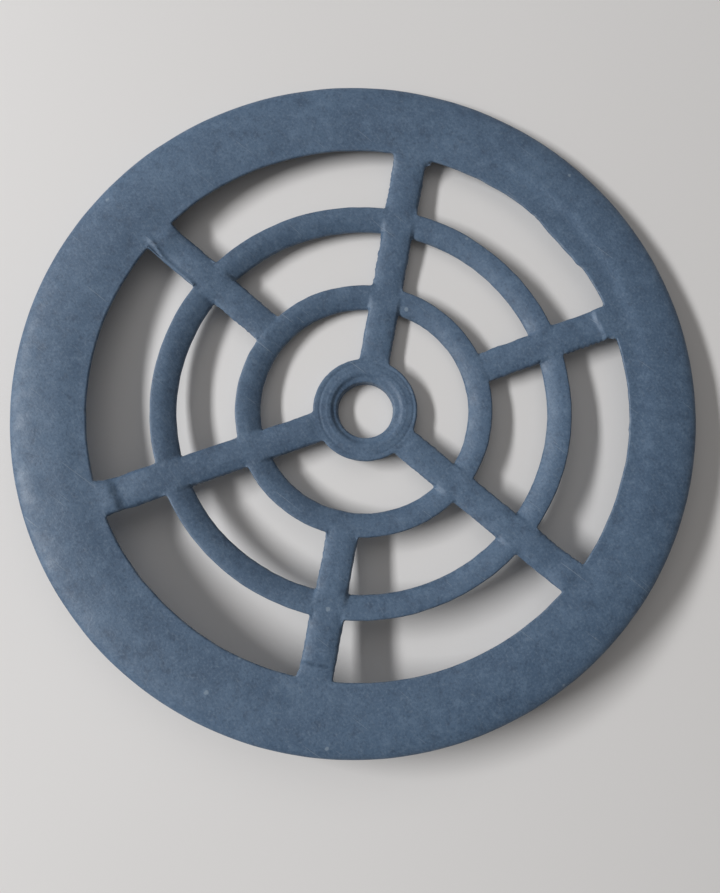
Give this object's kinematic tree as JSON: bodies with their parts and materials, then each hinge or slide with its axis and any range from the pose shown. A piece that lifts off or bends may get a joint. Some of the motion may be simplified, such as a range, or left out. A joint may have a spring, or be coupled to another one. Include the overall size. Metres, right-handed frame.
{
  "type": "floor drain grate",
  "caption": "Round dished cast-iron drain grate: a broad rim with a flat seat, concentric rings and a pierced hub, joined by radial bars.",
  "frame": {"origin": "centre of the underside of the hub, the lowest point of the grate, on the axis of the lifting hole", "axes": "+Z along the axis of the lifting hole, up towards the walked-on face; +Y along the middle of bar 1, one of the bars that reach the hub; bars are numbered anticlockwise from above"},
  "size_m": [0.203, 0.203, 0.0102],
  "materials": {
    "painted_iron": "satin blue-black paint over sand-cast iron, worn and scuffed along raised edges"
  },
  "bodies": {
    "root": {"rim": "painted_iron", "outer_ring": "painted_iron", "inner_ring": "painted_iron", "hub": "painted_iron", "outer_bar_1": "painted_iron", "outer_bar_2": "painted_iron", "outer_bar_3": "painted_iron", "outer_bar_4": "painted_iron", "outer_bar_5": "painted_iron", "outer_bar_6": "painted_iron", "middle_bar_1": "painted_iron", "middle_bar_2": "painted_iron", "middle_bar_3": "painted_iron", "middle_bar_4": "painted_iron", "middle_bar_5": "painted_iron", "middle_bar_6": "painted_iron", "inner_bar_1": "painted_iron", "inner_bar_2": "painted_iron", "inner_bar_3": "painted_iron"}
  },
  "joints": []
}
